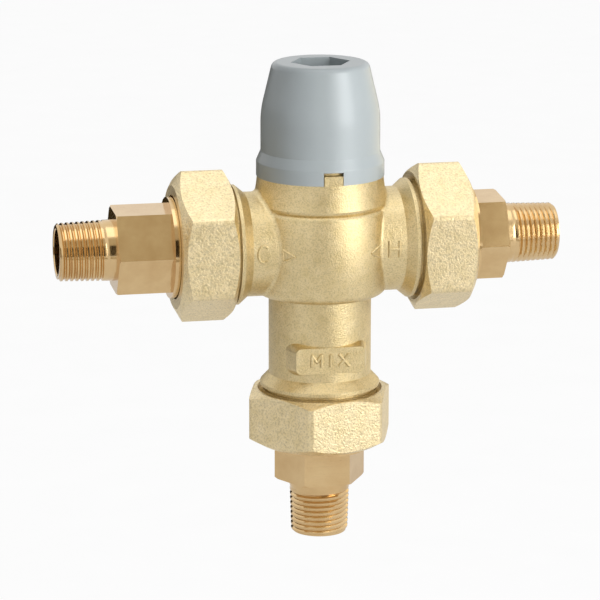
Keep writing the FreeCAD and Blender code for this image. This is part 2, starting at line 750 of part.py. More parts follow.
def element_capsule():
    """The copper capsule of wax with its clamping flange and guide nose."""
    body = new_body("element_capsule")
    flange_top = "-web_half"
    bore = "piston_radius + fit_play"
    turn(body, "capsule", [
        ("0", "capsule_end"), ("capsule_radius", "capsule_end"),
        ("capsule_radius", f"{flange_top} - flange_height"), ("flange_radius", f"{flange_top} - flange_height"),
        ("flange_radius", flange_top), ("nose_radius", flange_top), ("nose_radius", "nose_top"),
        (bore, "nose_top"), (bore, "nose_bore_end"), ("0", "nose_bore_end"),
    ])
    round_edges(body, "end", find_rings(body, [("capsule_radius", "capsule_end")]), "capsule_round")
    return place(body, "axis")


def shuttle():
    """The sleeve that opens one seat as it closes the other, with a web of holes round the element."""
    body = new_body("shuttle")
    inner = "shuttle_radius - shuttle_wall"
    hub = "nose_radius + fit_play"
    half = "shuttle_ring_groove / 2"
    floor = "shuttle_radius - 2 * shuttle_ring_wire"
    turn(body, "sleeve", [
        ("shuttle_radius", "-shuttle_half"), ("shuttle_radius", f"-{half}"), (floor, f"-{half}"), (floor, half),
        ("shuttle_radius", half), ("shuttle_radius", "shuttle_half"), (inner, "shuttle_half"),
        (inner, "web_half"), (hub, "web_half"), (hub, "-web_half"), (inner, "-web_half"),
        (inner, "-shuttle_half"),
    ])
    hole = extrude(body, "hole", lambda sketch: circle(sketch, "web_hole_circle", "0", "web_hole_radius"),
                   "2 * web_half", lift="web_half", cut=True)
    pattern = body.newObject("PartDesign::PolarPattern", "shuttle_holes")
    pattern.Originals = [hole]
    pattern.Axis = (hole.Profile[0], ["N_Axis"])
    pattern.Angle = 360
    pattern.Occurrences = 10
    body.Tip = pattern
    doc.recompute()
    return place(body, "axis")


def spring_seat():
    """The spider on the outlet's step that the return spring stands on."""
    body = new_body("spring_seat")
    step = "-outlet_step_depth"
    turn(body, "rim", box_corners("seat_hub_radius", step, "outlet_radius - seat_play",
                                  f"{step} + seat_ring_height"))

    def spokes(sketch):
        circle(sketch, "0", "0", "(seat_hub_radius + outlet_radius) / 2")
        for x, y in hexagon("sqrt(3) * seat_hole_circle")[::2]:
            circle(sketch, x, y, "seat_hole_radius")
        circle(sketch, "0", "0", "seat_middle_radius")

    extrude(body, "web", spokes, "seat_ring_height", lift=step)
    return place(body, "axis")


def union_nut(port):
    """A hexagon nut with rounded corners and sloped faces, its thread bore and its inward flange."""
    body = new_body(f"{port}_union_nut")
    corner = "(nut_flats / sqrt(3) + cut_past)"
    extrude(body, "hexagon", lambda sketch: draw(sketch, hexagon("nut_flats")), "nut_back + nut_front",
            lift="-nut_back")
    upright = [f"Edge{index}" for index, edge in enumerate(body.Shape.Edges, start=1)
               if abs(edge.tangentAt(edge.FirstParameter).z) > 0.999]
    round_edges(body, "corners", upright, "nut_corner_round")
    for name, end, face, way in (("front_slope", "nut_front", "nut_face_radius", "-"),
                                 ("back_slope", "-nut_back", "nut_back_radius", "+")):
        turn(body, name, [(face, end), (corner, end),
                          (corner, f"{end} {way} ({corner} - {face}) / nut_slope")], cut=True)
    turn(body, "bores", [
        ("0", "-nut_back"), ("nut_mouth_radius", "-nut_back"),
        ("nut_bore", "-nut_back + nut_mouth_depth"), ("nut_bore", "tail_flange_height"),
        ("nut_hole_radius", "tail_flange_height"), ("nut_hole_radius", "nut_front"), ("0", "nut_front"),
    ], cut=True)
    return place(body, port, TURNS[f"{port}_nut"])


def union_tail(port, has_cartridge):
    """A tailpiece: sealing flange, shoulder through the nut, hexagon and pipe connection."""
    body = new_body(f"{port}_union_tail")
    hex_end = f"tail_foot + {port}_hex_length"
    end = f"{hex_end} + pipe_length"
    mouth = "cartridge_bore" if has_cartridge else "tail_mouth_radius"
    depth = "cartridge_depth" if has_cartridge else "tail_mouth_depth"
    turn(body, "tube", [
        ("tail_bore", end), ("tail_bore", depth), (mouth, depth if has_cartridge else "0"),
        *([(mouth, "0")] if has_cartridge else []), ("tail_flange_radius", "0"),
        ("tail_flange_radius", "tail_flange_height"), ("tail_shoulder_radius", "tail_flange_height"),
        ("tail_shoulder_radius", "tail_foot"), ("pipe_radius", "tail_foot"),
        ("pipe_radius", f"{end} - pipe_chamfer"),
        ("pipe_radius - pipe_chamfer", end),
    ])

    def section(sketch):
        draw(sketch, hexagon("tail_flats"))
        circle(sketch, "0", "0", "(cartridge_bore + pipe_radius) / 2")

    extrude(body, "hexagon", section, f"{port}_hex_length", lift="tail_foot")
    corner = "tail_flats / sqrt(3) + cut_past"
    turn(body, "slope", [("tail_hex_round", hex_end), (corner, hex_end),
                         (corner, f"{hex_end} - ({corner} - tail_hex_round) / tail_hex_slope")], cut=True)
    return place(body, port, TURNS[f"{port}_tail"])


def union_gasket(port):
    """The fibre ring between the body's face and the tailpiece."""
    body = new_body(f"{port}_union_gasket")
    turn(body, "ring", box_corners("gasket_inner", "-gasket_thickness", "gasket_outer", "0"))
    return place(body, port)


def check_housing(port):
    """The cartridge in an inlet's tailpiece: seat, windows past the poppet, spoked guide and ring groove."""
    body = new_body(f"{port}_check_housing")
    half = "check_ring_groove / 2"
    floor = "cartridge_radius - 2 * check_ring_wire"
    inner = "cartridge_radius - check_wall"
    turn(body, "shell", [
        ("cartridge_radius", "check_inset"), ("cartridge_radius", f"check_ring_height - {half}"),
        (floor, f"check_ring_height - {half}"), (floor, f"check_ring_height + {half}"),
        ("cartridge_radius", f"check_ring_height + {half}"), ("cartridge_radius", "cartridge_depth"),
        ("check_seat_hole", "cartridge_depth"), ("check_seat_hole", "seat_face"), (inner, "seat_face"),
        (inner, "check_inset"),
    ])

    def spokes(sketch):
        reach = f"({inner} + check_wall / 2)"
        draw(sketch, box_corners(f"-{reach}", "-check_spoke_width / 2", reach, "check_spoke_width / 2"))

    extrude(body, "spoke", spokes, "check_guide_height", lift="check_inset")
    extrude(body, "hub", lambda sketch: circle(sketch, "0", "0", "check_hub_radius"), "check_guide_height",
            lift="check_inset")
    extrude(body, "guide", lambda sketch: circle(sketch, "0", "0", "poppet_stem_radius + fit_play"),
            "check_guide_height", lift="guide_top", cut=True)
    return place(body, port)


def check_poppet(port):
    """The disc and stem that lift off the cartridge's seat."""
    body = new_body(f"{port}_check_poppet")
    turn(body, "disc", [("0", "check_inset"), ("poppet_stem_radius", "check_inset"),
                        ("poppet_stem_radius", "poppet_back"), ("poppet_radius", "poppet_back"),
                        ("poppet_radius", "poppet_face"), ("0", "poppet_face")])
    return place(body, port)


def check_seal(port):
    """The flat ring on the poppet's face."""
    body = new_body(f"{port}_check_seal")
    turn(body, "ring", box_corners("check_seal_inner", "poppet_face", "check_seal_outer", "seat_face"))
    return place(body, port)


def check_cartridge(port):
    """Every piece of one inlet's check cartridge."""
    check_housing(port)
    check_poppet(port)
    check_seal(port)
    wire = "check_wire / 2"
    place(coil(f"{port}_check_spring", "check_mean_radius", wire, "guide_top", "poppet_back",
               "check_pitch"), port)
    place(ring(f"{port}_check_o_ring", "cartridge_radius - check_ring_wire", "check_ring_wire",
               "check_ring_height"), port)


valve_body()
protective_cap()
bonnet()
place(ring("bonnet_o_ring", "chamber_radius - fit_play - bonnet_ring_wire", "bonnet_ring_wire",
           "bonnet_ring_level"), "axis")
spindle()
spindle_clip()
for level in ("upper", "lower"):
    place(ring(f"{level}_spindle_o_ring", "spindle_radius - stem_ring_wire", "stem_ring_wire",
               f"{level}_stem_ring"), "axis")
carriage()
carriage_retainer()
override_cup()
place(coil("override_spring", "override_mean_radius", "override_wire / 2", "cup_foot + cup_floor",
           "carriage_ceiling", "override_pitch"), "axis")
element_piston()
element_capsule()
shuttle()
place(ring("shuttle_o_ring", "shuttle_radius - shuttle_ring_wire", "shuttle_ring_wire", "0"), "axis")
spring_seat()
place(coil("return_spring", "return_mean_radius", "return_wire / 2",
           "-outlet_step_depth + seat_ring_height", "flange_foot", "return_pitch"), "axis")
for port in ("cold", "hot", "outlet"):
    union_gasket(port)
    union_tail(port, has_cartridge=port != "outlet")
    union_nut(port)
    if port != "outlet":
        check_cartridge(port)
doc.recompute()

faults = [item.Name for item in doc.Objects if {"Invalid", "Error"} & set(item.State)]
faults += [body.Label for body in NODES
           if body.Shape.isNull() or not body.Shape.isValid() or len(body.Shape.Solids) != 1]
if faults:
    raise RuntimeError("not built: " + ", ".join(faults))
os.makedirs("parts", exist_ok=True)
for body in NODES:
    body.Shape.exportStep(f"parts/{body.Label}.step")
    print(body.Label, round(body.Shape.Volume, 1))
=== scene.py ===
"""Dresses a brass three-way mixing valve: forged tee, three union nuts, threaded tailpieces and cap.

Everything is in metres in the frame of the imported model: +Z up, the hot inlet along +X, the cold
inlet along -X and the mixed outlet's open end at the origin.
"""

import json
import logging
import math
from dataclasses import dataclass, field
from enum import Enum
from typing import Any, Optional, Sequence

import bmesh
import bpy
from mathutils import Matrix, Vector
from mathutils.bvhtree import BVHTree

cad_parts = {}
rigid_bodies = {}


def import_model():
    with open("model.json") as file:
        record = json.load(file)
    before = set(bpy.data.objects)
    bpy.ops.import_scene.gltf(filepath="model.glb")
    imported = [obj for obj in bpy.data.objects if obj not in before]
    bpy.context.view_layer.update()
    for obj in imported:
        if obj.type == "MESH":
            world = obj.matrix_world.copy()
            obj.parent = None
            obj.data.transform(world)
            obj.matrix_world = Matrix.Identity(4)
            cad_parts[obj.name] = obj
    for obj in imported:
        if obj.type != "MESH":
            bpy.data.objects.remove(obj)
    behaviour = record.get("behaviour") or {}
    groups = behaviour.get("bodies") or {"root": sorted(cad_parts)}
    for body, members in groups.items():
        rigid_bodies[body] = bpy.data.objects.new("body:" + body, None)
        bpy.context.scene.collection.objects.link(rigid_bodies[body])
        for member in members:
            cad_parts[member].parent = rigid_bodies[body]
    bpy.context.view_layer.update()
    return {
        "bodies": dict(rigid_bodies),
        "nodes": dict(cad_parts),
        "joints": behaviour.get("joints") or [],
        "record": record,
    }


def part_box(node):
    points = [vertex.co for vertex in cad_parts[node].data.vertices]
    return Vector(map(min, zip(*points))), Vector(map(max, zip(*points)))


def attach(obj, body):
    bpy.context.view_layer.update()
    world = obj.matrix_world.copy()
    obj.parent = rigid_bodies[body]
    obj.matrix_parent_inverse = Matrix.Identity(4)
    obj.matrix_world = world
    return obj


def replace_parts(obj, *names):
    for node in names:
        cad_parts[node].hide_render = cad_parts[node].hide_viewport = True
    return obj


MM = 0.001
LOG = logging.getLogger("mixing_valve")


class Port(Enum):
    """The three connections, by the body their tailpiece rides on."""

    COLD = "cold"
    HOT = "hot"
    OUTLET = "outlet"

    @property
    def tail(self) -> str:
        """Name of the CAD node and of the part of a piece's name that stands for the tailpiece."""
        return f"{self.value}_union_tail"

    @property
    def body(self) -> str:
        """The moving body that the tailpiece belongs to."""
        return f"{self.value}_tail"

    @property
    def outward(self) -> Vector:
        """The way out of the valve along this connection."""
        ways = {"cold": (-1, 0, 0), "hot": (1, 0, 0), "outlet": (0, 0, -1)}
        return Vector(ways[self.value])


class Lay(Enum):
    """Which way a tool's marks run: rings about an axis, or none."""

    NONE = "none"
    ABOUT_X = "x"
    ABOUT_Z = "z"


def linear(hex_colour: str) -> tuple[float, float, float, float]:
    """Turn an sRGB hex colour into linear values.

    Args:
        hex_colour: Six hex digits after a hash sign.

    Returns:
        Linear red, green, blue and an alpha of 1.
    """
    channels = [int(hex_colour[index:index + 2], 16) / 255 for index in (1, 3, 5)]
    straight = [c / 12.92 if c <= 0.04045 else ((c + 0.055) / 1.055) ** 2.4 for c in channels]
    return (straight[0], straight[1], straight[2], 1.0)


def add_node(tree: bpy.types.NodeTree, kind: str, settings: Optional[dict[str, Any]] = None,
             inputs: Optional[dict[Any, Any]] = None) -> bpy.types.Node:
    """Add one shader node.

    Args:
        tree: The node tree to add to.
        kind: The node's Blender type.
        settings: Attributes to set on the node.
        inputs: Socket name or number to a value, or to an output socket to link.

    Returns:
        The new node.
    """
    node = tree.nodes.new(kind)
    for name, setting in (settings or {}).items():
        setattr(node, name, setting)
    for socket, given in (inputs or {}).items():
        if isinstance(given, bpy.types.NodeSocket):
            tree.links.new(given, node.inputs[socket])
        else:
            node.inputs[socket].default_value = given
    return node


@dataclass(frozen=True)
class Finish:
    """A real material and how its surface was made, as values for one procedural shader.

    The two colours are the material's lighter and darker tone, mottled over patches of patch_mm.
    grain_mm and grain_depth_mm are the width and height of its fine relief, wave_mm and
    wave_depth_mm those of the slow unevenness under it. marks_mm and marks_depth_mm are the spacing
    and depth of a tool's marks, which run as lay says.
    """

    name: str
    light: str
    dark: str
    metallic: float
    roughness: float
    roughness_spread: float
    patch_mm: float
    grain_mm: float
    grain_depth_mm: float
    wave_mm: float = 6.0
    wave_depth_mm: float = 0.0
    marks_mm: float = 0.4
    marks_depth_mm: float = 0.0
    lay: Lay = Lay.NONE
    coat: float = 0.0
    # painted shade: how far the grain's low spots, its pits, are darkened
    painted_pit_shade: float = 0.0

    def material(self) -> bpy.types.Material:
        """Build the finish's material.

        Returns:
            A material that reads Object coordinates only.
        """
        material = bpy.data.materials.new(self.name)
        material.use_nodes = True
        tree = material.node_tree
        tree.nodes.clear()
        place = add_node(tree, "ShaderNodeTexCoord").outputs["Object"]
        patches = add_node(tree, "ShaderNodeTexNoise", inputs={
            "Vector": place, "Scale": 1 / (self.patch_mm * MM), "Detail": 5.0, "Roughness": 0.6})
        spread = add_node(tree, "ShaderNodeMapRange", inputs={
            "Value": patches.outputs[0], "From Min": 0.32, "From Max": 0.68})
        tone = add_node(tree, "ShaderNodeMix", {"data_type": "RGBA"}, {
            0: spread.outputs[0], 6: linear(self.dark), 7: linear(self.light)})
        grain = add_node(tree, "ShaderNodeTexNoise", inputs={
            "Vector": place, "Scale": 1 / (self.grain_mm * MM), "Detail": 3.0, "Roughness": 0.55})
        wave = add_node(tree, "ShaderNodeTexNoise", inputs={
            "Vector": place, "Scale": 1 / (self.wave_mm * MM), "Detail": 2.0})
        colour = tone.outputs[2]
        if self.painted_pit_shade:
            # painted shade: the low spots of the grain, where the bump sinks into pits, are darkened in the
            # colour
            pits = add_node(tree, "ShaderNodeMapRange", inputs={
                "Value": grain.outputs[0], "From Min": 0.25, "From Max": 0.55, "To Min": 1 - self.painted_pit_shade,
                "To Max": 1.0})
            shade = add_node(tree, "ShaderNodeMix", {"data_type": "RGBA", "blend_type": "MULTIPLY"}, {
                0: 1.0, 6: colour, 7: pits.outputs[0]})
            colour = shade.outputs[2]
        rough = add_node(tree, "ShaderNodeMapRange", inputs={
            "Value": patches.outputs[0], "From Min": 0.3, "From Max": 0.7,
            "To Min": self.roughness - self.roughness_spread,
            "To Max": self.roughness + self.roughness_spread})
        normal = add_node(tree, "ShaderNodeBump", inputs={
            "Height": wave.outputs[0], "Distance": self.wave_depth_mm * MM, "Strength": 1.0}).outputs[0]
        normal = add_node(tree, "ShaderNodeBump", inputs={
            "Height": grain.outputs[0], "Distance": self.grain_depth_mm * MM, "Strength": 1.0,
            "Normal": normal}).outputs[0]
        if self.lay is not Lay.NONE:
            # rings about an axis change only along it, so the pattern is squeezed flat across it
            along = 1 / (self.marks_mm * MM)
            scale = (along, 0.0, 0.0) if self.lay is Lay.ABOUT_X else (0.0, 0.0, along)
            flat = add_node(tree, "ShaderNodeMapping", inputs={"Vector": place, "Scale": scale})
            marks = add_node(tree, "ShaderNodeTexNoise", inputs={
                "Vector": flat.outputs[0], "Scale": 1.0, "Detail": 2.0})
            normal = add_node(tree, "ShaderNodeBump", inputs={
                "Height": marks.outputs[0], "Distance": self.marks_depth_mm * MM, "Strength": 1.0,
                "Normal": normal}).outputs[0]
        surface = add_node(tree, "ShaderNodeBsdfPrincipled", inputs={
            "Base Color": colour, "Metallic": self.metallic, "Roughness": rough.outputs[0],
            "Normal": normal, "Coat Weight": self.coat, "Coat Roughness": 0.2})
        add_node(tree, "ShaderNodeOutputMaterial", inputs={"Surface": surface.outputs[0]})
        return material


# hot-forged CW617N brass, blasted with glass bead: pale, matt, an even fine grain, no direction; its
# grain's pits carry painted shade
FORGED_BRASS = Finish("forged_blasted_brass", "#e6d3a6", "#dac593", 1.0, 0.42, 0.05, 4.0, 0.55, 0.15,
                      wave_mm=4.0, wave_depth_mm=0.10, painted_pit_shade=0.30)
# the nuts are blasted harder, with a coarser skin and small dents between the flats, and a little more
# painted shade in the grain's pits
BLASTED_NUT = Finish("coarse_blasted_brass", "#f3e1b8", "#e8d4a5", 1.0, 0.40, 0.06, 4.0, 0.7, 0.19,
                     wave_mm=3.5, wave_depth_mm=0.14, painted_pit_shade=0.34)
# the tailpieces are turned from dezincification-resistant bar: browner, smooth, with lathe rings
TURNED_BRASS_X = Finish("turned_tail_brass_x", "#dfc191", "#d0ae7d", 1.0, 0.15, 0.03, 12.0, 0.6, 0.01,
                        marks_mm=0.35, marks_depth_mm=0.012, lay=Lay.ABOUT_X)
TURNED_BRASS_Z = Finish("turned_tail_brass_z", "#dfc191", "#d0ae7d", 1.0, 0.15, 0.03, 12.0, 0.6, 0.01,
                        marks_mm=0.35, marks_depth_mm=0.012, lay=Lay.ABOUT_Z)
# bonnet and spindle: bright turned brass rings about the upright axis
TURNED_BONNET = Finish("turned_bonnet_brass", "#e3c684", "#cfae69", 1.0, 0.26, 0.05, 10.0, 0.6, 0.01,
                       marks_mm=0.4, marks_depth_mm=0.012, lay=Lay.ABOUT_Z)
# injection-moulded ABS with a fine spark-eroded skin: even cool grey, soft gloss
MOULDED_ABS = Finish("moulded_grey_abs", "#adb5b7", "#a9b1b3", 0.0, 0.36, 0.03, 20.0, 0.8, 0.008,
                     wave_mm=25.0, wave_depth_mm=0.02, coat=0.25)
# pressed EPDM: near black, matt, a faint bloom
EPDM = Finish("pressed_epdm", "#2b2b2b", "#202020", 0.0, 0.62, 0.08, 3.0, 0.5, 0.01)
# drawn stainless spring wire: grey, smooth along the wire
SPRING_WIRE = Finish("drawn_stainless_wire", "#c9c8c4", "#b4b3b0", 1.0, 0.27, 0.05, 2.0, 0.5, 0.006)
# moulded acetal: milky white, waxy
ACETAL = Finish("moulded_acetal", "#e6e3da", "#dcd8cd", 0.0, 0.42, 0.05, 6.0, 0.6, 0.008)
# compressed fibre sheet: brick red, dull, flecked
FIBRE = Finish("compressed_fibre", "#7a3f30", "#5f2e24", 0.0, 0.78, 0.08, 1.5, 0.5, 0.03)
# drawn copper capsule, a little tarnished
COPPER = Finish("drawn_copper", "#cf8a6a", "#a9664b", 1.0, 0.3, 0.08, 5.0, 0.6, 0.01)


def clean_normals(mesh: bmesh.types.BMesh, distance: float = 1e-6) -> None:
    """Merge a mesh's doubles and turn its faces outwards."""
    bmesh.ops.remove_doubles(mesh, verts=mesh.verts, dist=distance)
    bmesh.ops.recalc_face_normals(mesh, faces=mesh.faces)


def new_piece(name: str, mesh: bmesh.types.BMesh, body: str, finish: bpy.types.Material,
              smooth_below: float = 35.0) -> bpy.types.Object:
    """Turn a finished bmesh into a piece at the origin that rides on a CAD body.

    Args:
        name: The piece's name.
        mesh: The mesh, already in place. It is freed.
        body: The CAD body that carries the piece.
        finish: Its material.
        smooth_below: Edges flatter than this many degrees are shaded smooth.

    Returns:
        The new object.
    """
    data = bpy.data.meshes.new(name)
    for edge in mesh.edges:
        sharp = len(edge.link_faces) == 2 and edge.calc_face_angle(0.0) > math.radians(smooth_below)
        edge.smooth = not sharp
    for face in mesh.faces:
        face.smooth = True
    mesh.to_mesh(data)
    mesh.free()
    data.materials.append(finish)
    piece = bpy.data.objects.new(name, data)
    bpy.context.scene.collection.objects.link(piece)
    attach(piece, body)
    LOG.info("%s: %d faces, rides on %s", name, len(data.polygons), body)
    return piece


@dataclass
class PipeThread:
    """A taper pipe thread, turned about +Z from z = 0 towards its open end.

    The thread is one helix: a profile of V ridges spun once while it climbs one pitch.
    """

    length: float = 19.7 * MM
    radius: float = 10.67 * MM
    bore: float = 7.9 * MM
    pitch: float = 1.814 * MM
    depth: float = 0.68 * MM
    crest: float = 0.3
    root: float = 0.12
    shank: float = 3.0 * MM
    chamfer: float = 1.1 * MM
    taper: float = 1 / 32
    steps: int = 96

    def profile(self, mesh: bmesh.types.BMesh) -> list[bmesh.types.BMEdge]:
        """Draw the ridges' profile in the XZ plane, a pitch longer than the pipe at both ends.

        Args:
            mesh: The mesh to draw in.

        Returns:
            The profile's edges.
        """
        count = math.ceil(self.length / self.pitch) + 3
        root = self.radius - self.depth
        verts = []
        for ridge in range(-2, count):
            for part, radius in ((0.0, root), (self.root, root), (0.5, self.radius),
                                 (0.5 + self.crest, self.radius)):
                verts.append(mesh.verts.new((radius, 0, (ridge + part) * self.pitch)))
        return [mesh.edges.new(pair) for pair in zip(verts, verts[1:])]

    def shape(self, point: Vector) -> None:
        """Fit one point of the plain helix to the taper, the smooth shank and the end chamfer.

        Args:
            point: The point, which is moved.
        """
        radius = math.hypot(point.x, point.y)
        root = self.radius - self.depth
        along = min(max((point.z - self.shank) / self.pitch, 0.0), 1.0)
        wanted = max(radius, self.radius + (root - self.radius) * along)
        wanted -= max(point.z, 0.0) * self.taper
        wanted = min(wanted, self.end_radius + (self.length - point.z) * 1.1)
        point.x *= wanted / radius
        point.y *= wanted / radius

    @property
    def end_radius(self) -> float:
        """Outer radius of the open end's flat face."""
        return self.radius - self.depth - self.length * self.taper - 0.02 * MM

    def build(self) -> bmesh.types.BMesh:
        """Make the closed threaded pipe.

        Returns:
            A mesh about +Z whose plain end is at z = 0.
        """
        mesh = bmesh.new()
        edges = self.profile(mesh)
        bmesh.ops.spin(mesh, geom=[*mesh.verts, *edges], cent=(0, 0, 0), axis=(0, 0, 1),
                       dvec=(0, 0, self.pitch / self.steps), angle=2 * math.pi, steps=self.steps,
                       use_merge=False, use_duplicate=False)
        bmesh.ops.remove_doubles(mesh, verts=mesh.verts, dist=1e-6)
        for height, way in ((0.0, -1), (self.length, 1)):
            bmesh.ops.bisect_plane(mesh, geom=[*mesh.verts, *mesh.edges, *mesh.faces], dist=1e-7,
                                   plane_co=(0, 0, height), plane_no=(0, 0, way), clear_outer=True)
        for vert in mesh.verts:
            self.shape(vert.co)
        bmesh.ops.remove_doubles(mesh, verts=mesh.verts, dist=2e-6)
        self.bore_out(mesh)
        clean_normals(mesh)
        return mesh

    def bore_out(self, mesh: bmesh.types.BMesh) -> None:
        """Close the end face and carry the bore back to the plain end.

        Args:
            mesh: The pipe, open at both ends.
        """
        rim = [edge for edge in mesh.edges if edge.is_boundary
               and all(abs(vert.co.z - self.length) < 1e-6 for vert in edge.verts)]
        lip = self.bore + 0.35 * MM
        for radius, height in ((lip, self.length), (self.bore, self.length - 0.35 * MM), (self.bore, 0.0)):
            made = bmesh.ops.extrude_edge_only(mesh, edges=rim)["geom"]
            rim = [item for item in made if isinstance(item, bmesh.types.BMEdge)]
            for vert in {vert for edge in rim for vert in edge.verts}:
                reach = math.hypot(vert.co.x, vert.co.y)
                vert.co = (vert.co.x * radius / reach, vert.co.y * radius / reach, height)
        bmesh.ops.bridge_loops(mesh, edges=[edge for edge in mesh.edges if edge.is_boundary])


@dataclass
class Tailpiece:
    """A union tailpiece: the CAD flange and hexagon, with a thread in place of the plain pipe."""

    port: Port
    finish: bpy.types.Material
    thread: PipeThread = field(default_factory=PipeThread)

    def build(self, frame: dict[str, Any]) -> bpy.types.Object:
        """Cut the plain pipe off a copy of the node and put the threaded one on.


        Returns:
            The piece, which stands for the CAD node.
        """
        low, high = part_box(self.port.tail)
        out = self.port.outward
        middle = (low + high) / 2
        reach = (high - low) / 2
        end = middle + out * abs(reach.dot(out))
        axis_point = end - out * self.thread.length
        mesh = bmesh.new()
        mesh.from_mesh(frame["nodes"][self.port.tail].data)
        bmesh.ops.remove_doubles(mesh, verts=mesh.verts, dist=1e-6)
        bmesh.ops.bisect_plane(mesh, geom=[*mesh.verts, *mesh.edges, *mesh.faces], dist=1e-7,
                               plane_co=axis_point + out * 0.2 * MM, plane_no=out, clear_outer=True)
        bmesh.ops.bridge_loops(mesh, edges=[edge for edge in mesh.edges if edge.is_boundary])
        pipe = self.thread.build()
        turn = Vector((0, 0, 1)).rotation_difference(out).to_matrix().to_4x4()
        bmesh.ops.transform(pipe, matrix=Matrix.Translation(axis_point) @ turn, verts=pipe.verts)
        scratch = bpy.data.meshes.new("pipe")
        pipe.to_mesh(scratch)
        pipe.free()
        mesh.from_mesh(scratch)
        bpy.data.meshes.remove(scratch)
        bmesh.ops.recalc_face_normals(mesh, faces=mesh.faces)
        piece = new_piece(f"{self.port.value}_threaded_tail", mesh, self.port.body,
                          self.finish, 28.0)
        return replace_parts(piece, self.port.tail)


@dataclass
class RaisedMark:
    """A mark forged proud of the body: strokes drawn in millimetres right and up from its centre."""

    name: str
    across: float
    height: float
    strokes: Sequence[Sequence[tuple[float, float]]]
    half_width: float = 0.5 * MM
    spacing: float = 0.35 * MM

    def trail(self, skin: BVHTree, stroke: Sequence[tuple[float, float]]) -> list[Vector]:
        """Lay one stroke on the front of the body.

        Args:
            skin: The body's surface.
            stroke: The stroke's corners.

        Returns:
            Points on the surface, closely spaced.
        """
        points: list[Vector] = []
        for start, stop in zip(stroke, stroke[1:]):
            length = math.dist(start, stop) * MM
            steps = max(2, math.ceil(length / self.spacing))
            for step in range(steps + (stop == stroke[-1])):
                share = step / steps
                x = self.across + (start[0] + (stop[0] - start[0]) * share) * MM
                z = self.height + (start[1] + (stop[1] - start[1]) * share) * MM
                hit = skin.ray_cast(Vector((x, -0.2, z)), Vector((0, 1, 0)))[0]
                if hit is not None:
                    points.append(hit)
        return points

    def build(self, skin: BVHTree, finish: bpy.types.Material) -> bpy.types.Object:
        """Make the mark as round ridges sunk to half their height.

        Args:
            skin: The body's surface.
            finish: The body's material.

        Returns:
            The piece.
        """
        curve = bpy.data.curves.new(self.name, "CURVE")
        curve.dimensions = "3D"
        curve.bevel_depth = self.half_width
        curve.bevel_resolution = 2
        curve.use_fill_caps = True
        for stroke in self.strokes:
            points = self.trail(skin, stroke)
            spline = curve.splines.new("POLY")
            spline.points.add(len(points) - 1)
            for slot, point in zip(spline.points, points):
                slot.co = (*point, 1)
        holder = bpy.data.objects.new(self.name, curve)
        bpy.context.scene.collection.objects.link(holder)
        bpy.context.view_layer.update()
        data = bpy.data.meshes.new_from_object(holder)
        mesh = bmesh.new()
        mesh.from_mesh(data)
        bpy.data.objects.remove(holder)
        bpy.data.curves.remove(curve)
        bpy.data.meshes.remove(data)
        clean_normals(mesh)
        return new_piece(self.name, mesh, "valve", finish, 60.0)


def arc(radius_x: float, radius_y: float, start: float, stop: float,
        steps: int = 14) -> list[tuple[float, float]]:
    """Points on part of an ellipse, in millimetres, between two angles in degrees."""
    angles = [math.radians(start + (stop - start) * step / steps) for step in range(steps + 1)]
    return [(radius_x * math.cos(angle), radius_y * math.sin(angle)) for angle in angles]


@dataclass
class PortMarks:
    """The letters and flow arrows beside the ports and on the outlet's pad."""

    crossing: float
    finish: bpy.types.Material
    pad_centre: float = -38.8 * MM

    def build(self, body: bpy.types.Object) -> None:
        """Lay every mark on the front of the forged body.

        Args:
            body: The forged body's CAD node.
        """
        mesh = bmesh.new()
        mesh.from_mesh(body.data)
        skin = BVHTree.FromBMesh(mesh)
        mesh.free()
        letter_h = [[(-1.8, -2.9), (-1.8, 2.9)], [(1.8, -2.9), (1.8, 2.9)], [(-1.8, 0.0), (1.8, 0.0)]]
        arrow = [[(-1.9, 2.1), (-1.9, -2.1)], [(-1.9, 2.1), (1.9, 0.0)], [(-1.9, -2.1), (1.9, 0.0)]]
        mirrored = [[(-x, z) for x, z in stroke] for stroke in arrow]
        letters_mix = [
            [(-6.6, -2.2), (-6.6, 2.2), (-4.9, -0.4), (-3.2, 2.2), (-3.2, -2.2)],
            [(0.0, -2.2), (0.0, 2.2)],
            [(3.0, -2.2), (6.6, 2.2)], [(3.0, 2.2), (6.6, -2.2)],
        ]
        marks = [
            RaisedMark("cold_letter", -23.5 * MM, self.crossing, [arc(2.0, 2.9, 50.0, 310.0)]),
            RaisedMark("hot_letter", 22.6 * MM, self.crossing, letter_h),
            RaisedMark("cold_arrow", -15.2 * MM, self.crossing - 0.6 * MM, arrow, 0.42 * MM),
            RaisedMark("hot_arrow", 15.4 * MM, self.crossing - 0.4 * MM, mirrored, 0.42 * MM),
            RaisedMark("outlet_letters", 0.0, self.crossing + self.pad_centre, letters_mix, 0.6 * MM),
        ]
        for mark in marks:
            mark.build(skin, self.finish)


@dataclass(frozen=True)
class Stand:
    """Where a lamp or card stands, seen from the ports' crossing, and how large it is."""

    name: str
    bearing: float
    rise: float
    distance: float
    width: float
    height: float


@dataclass(frozen=True)
class Lamp(Stand):
    """A soft lamp that faces the valve, with its power and whether gloss shows it."""

    watts: float = 0.0
    in_gloss: bool = True


@dataclass(frozen=True)
class Card(Stand):
    """An evenly lit card that only gloss shows; a strength of 1 is a plain lit card."""

    shade: str = "#ffffff"
    strength: float = 1.0


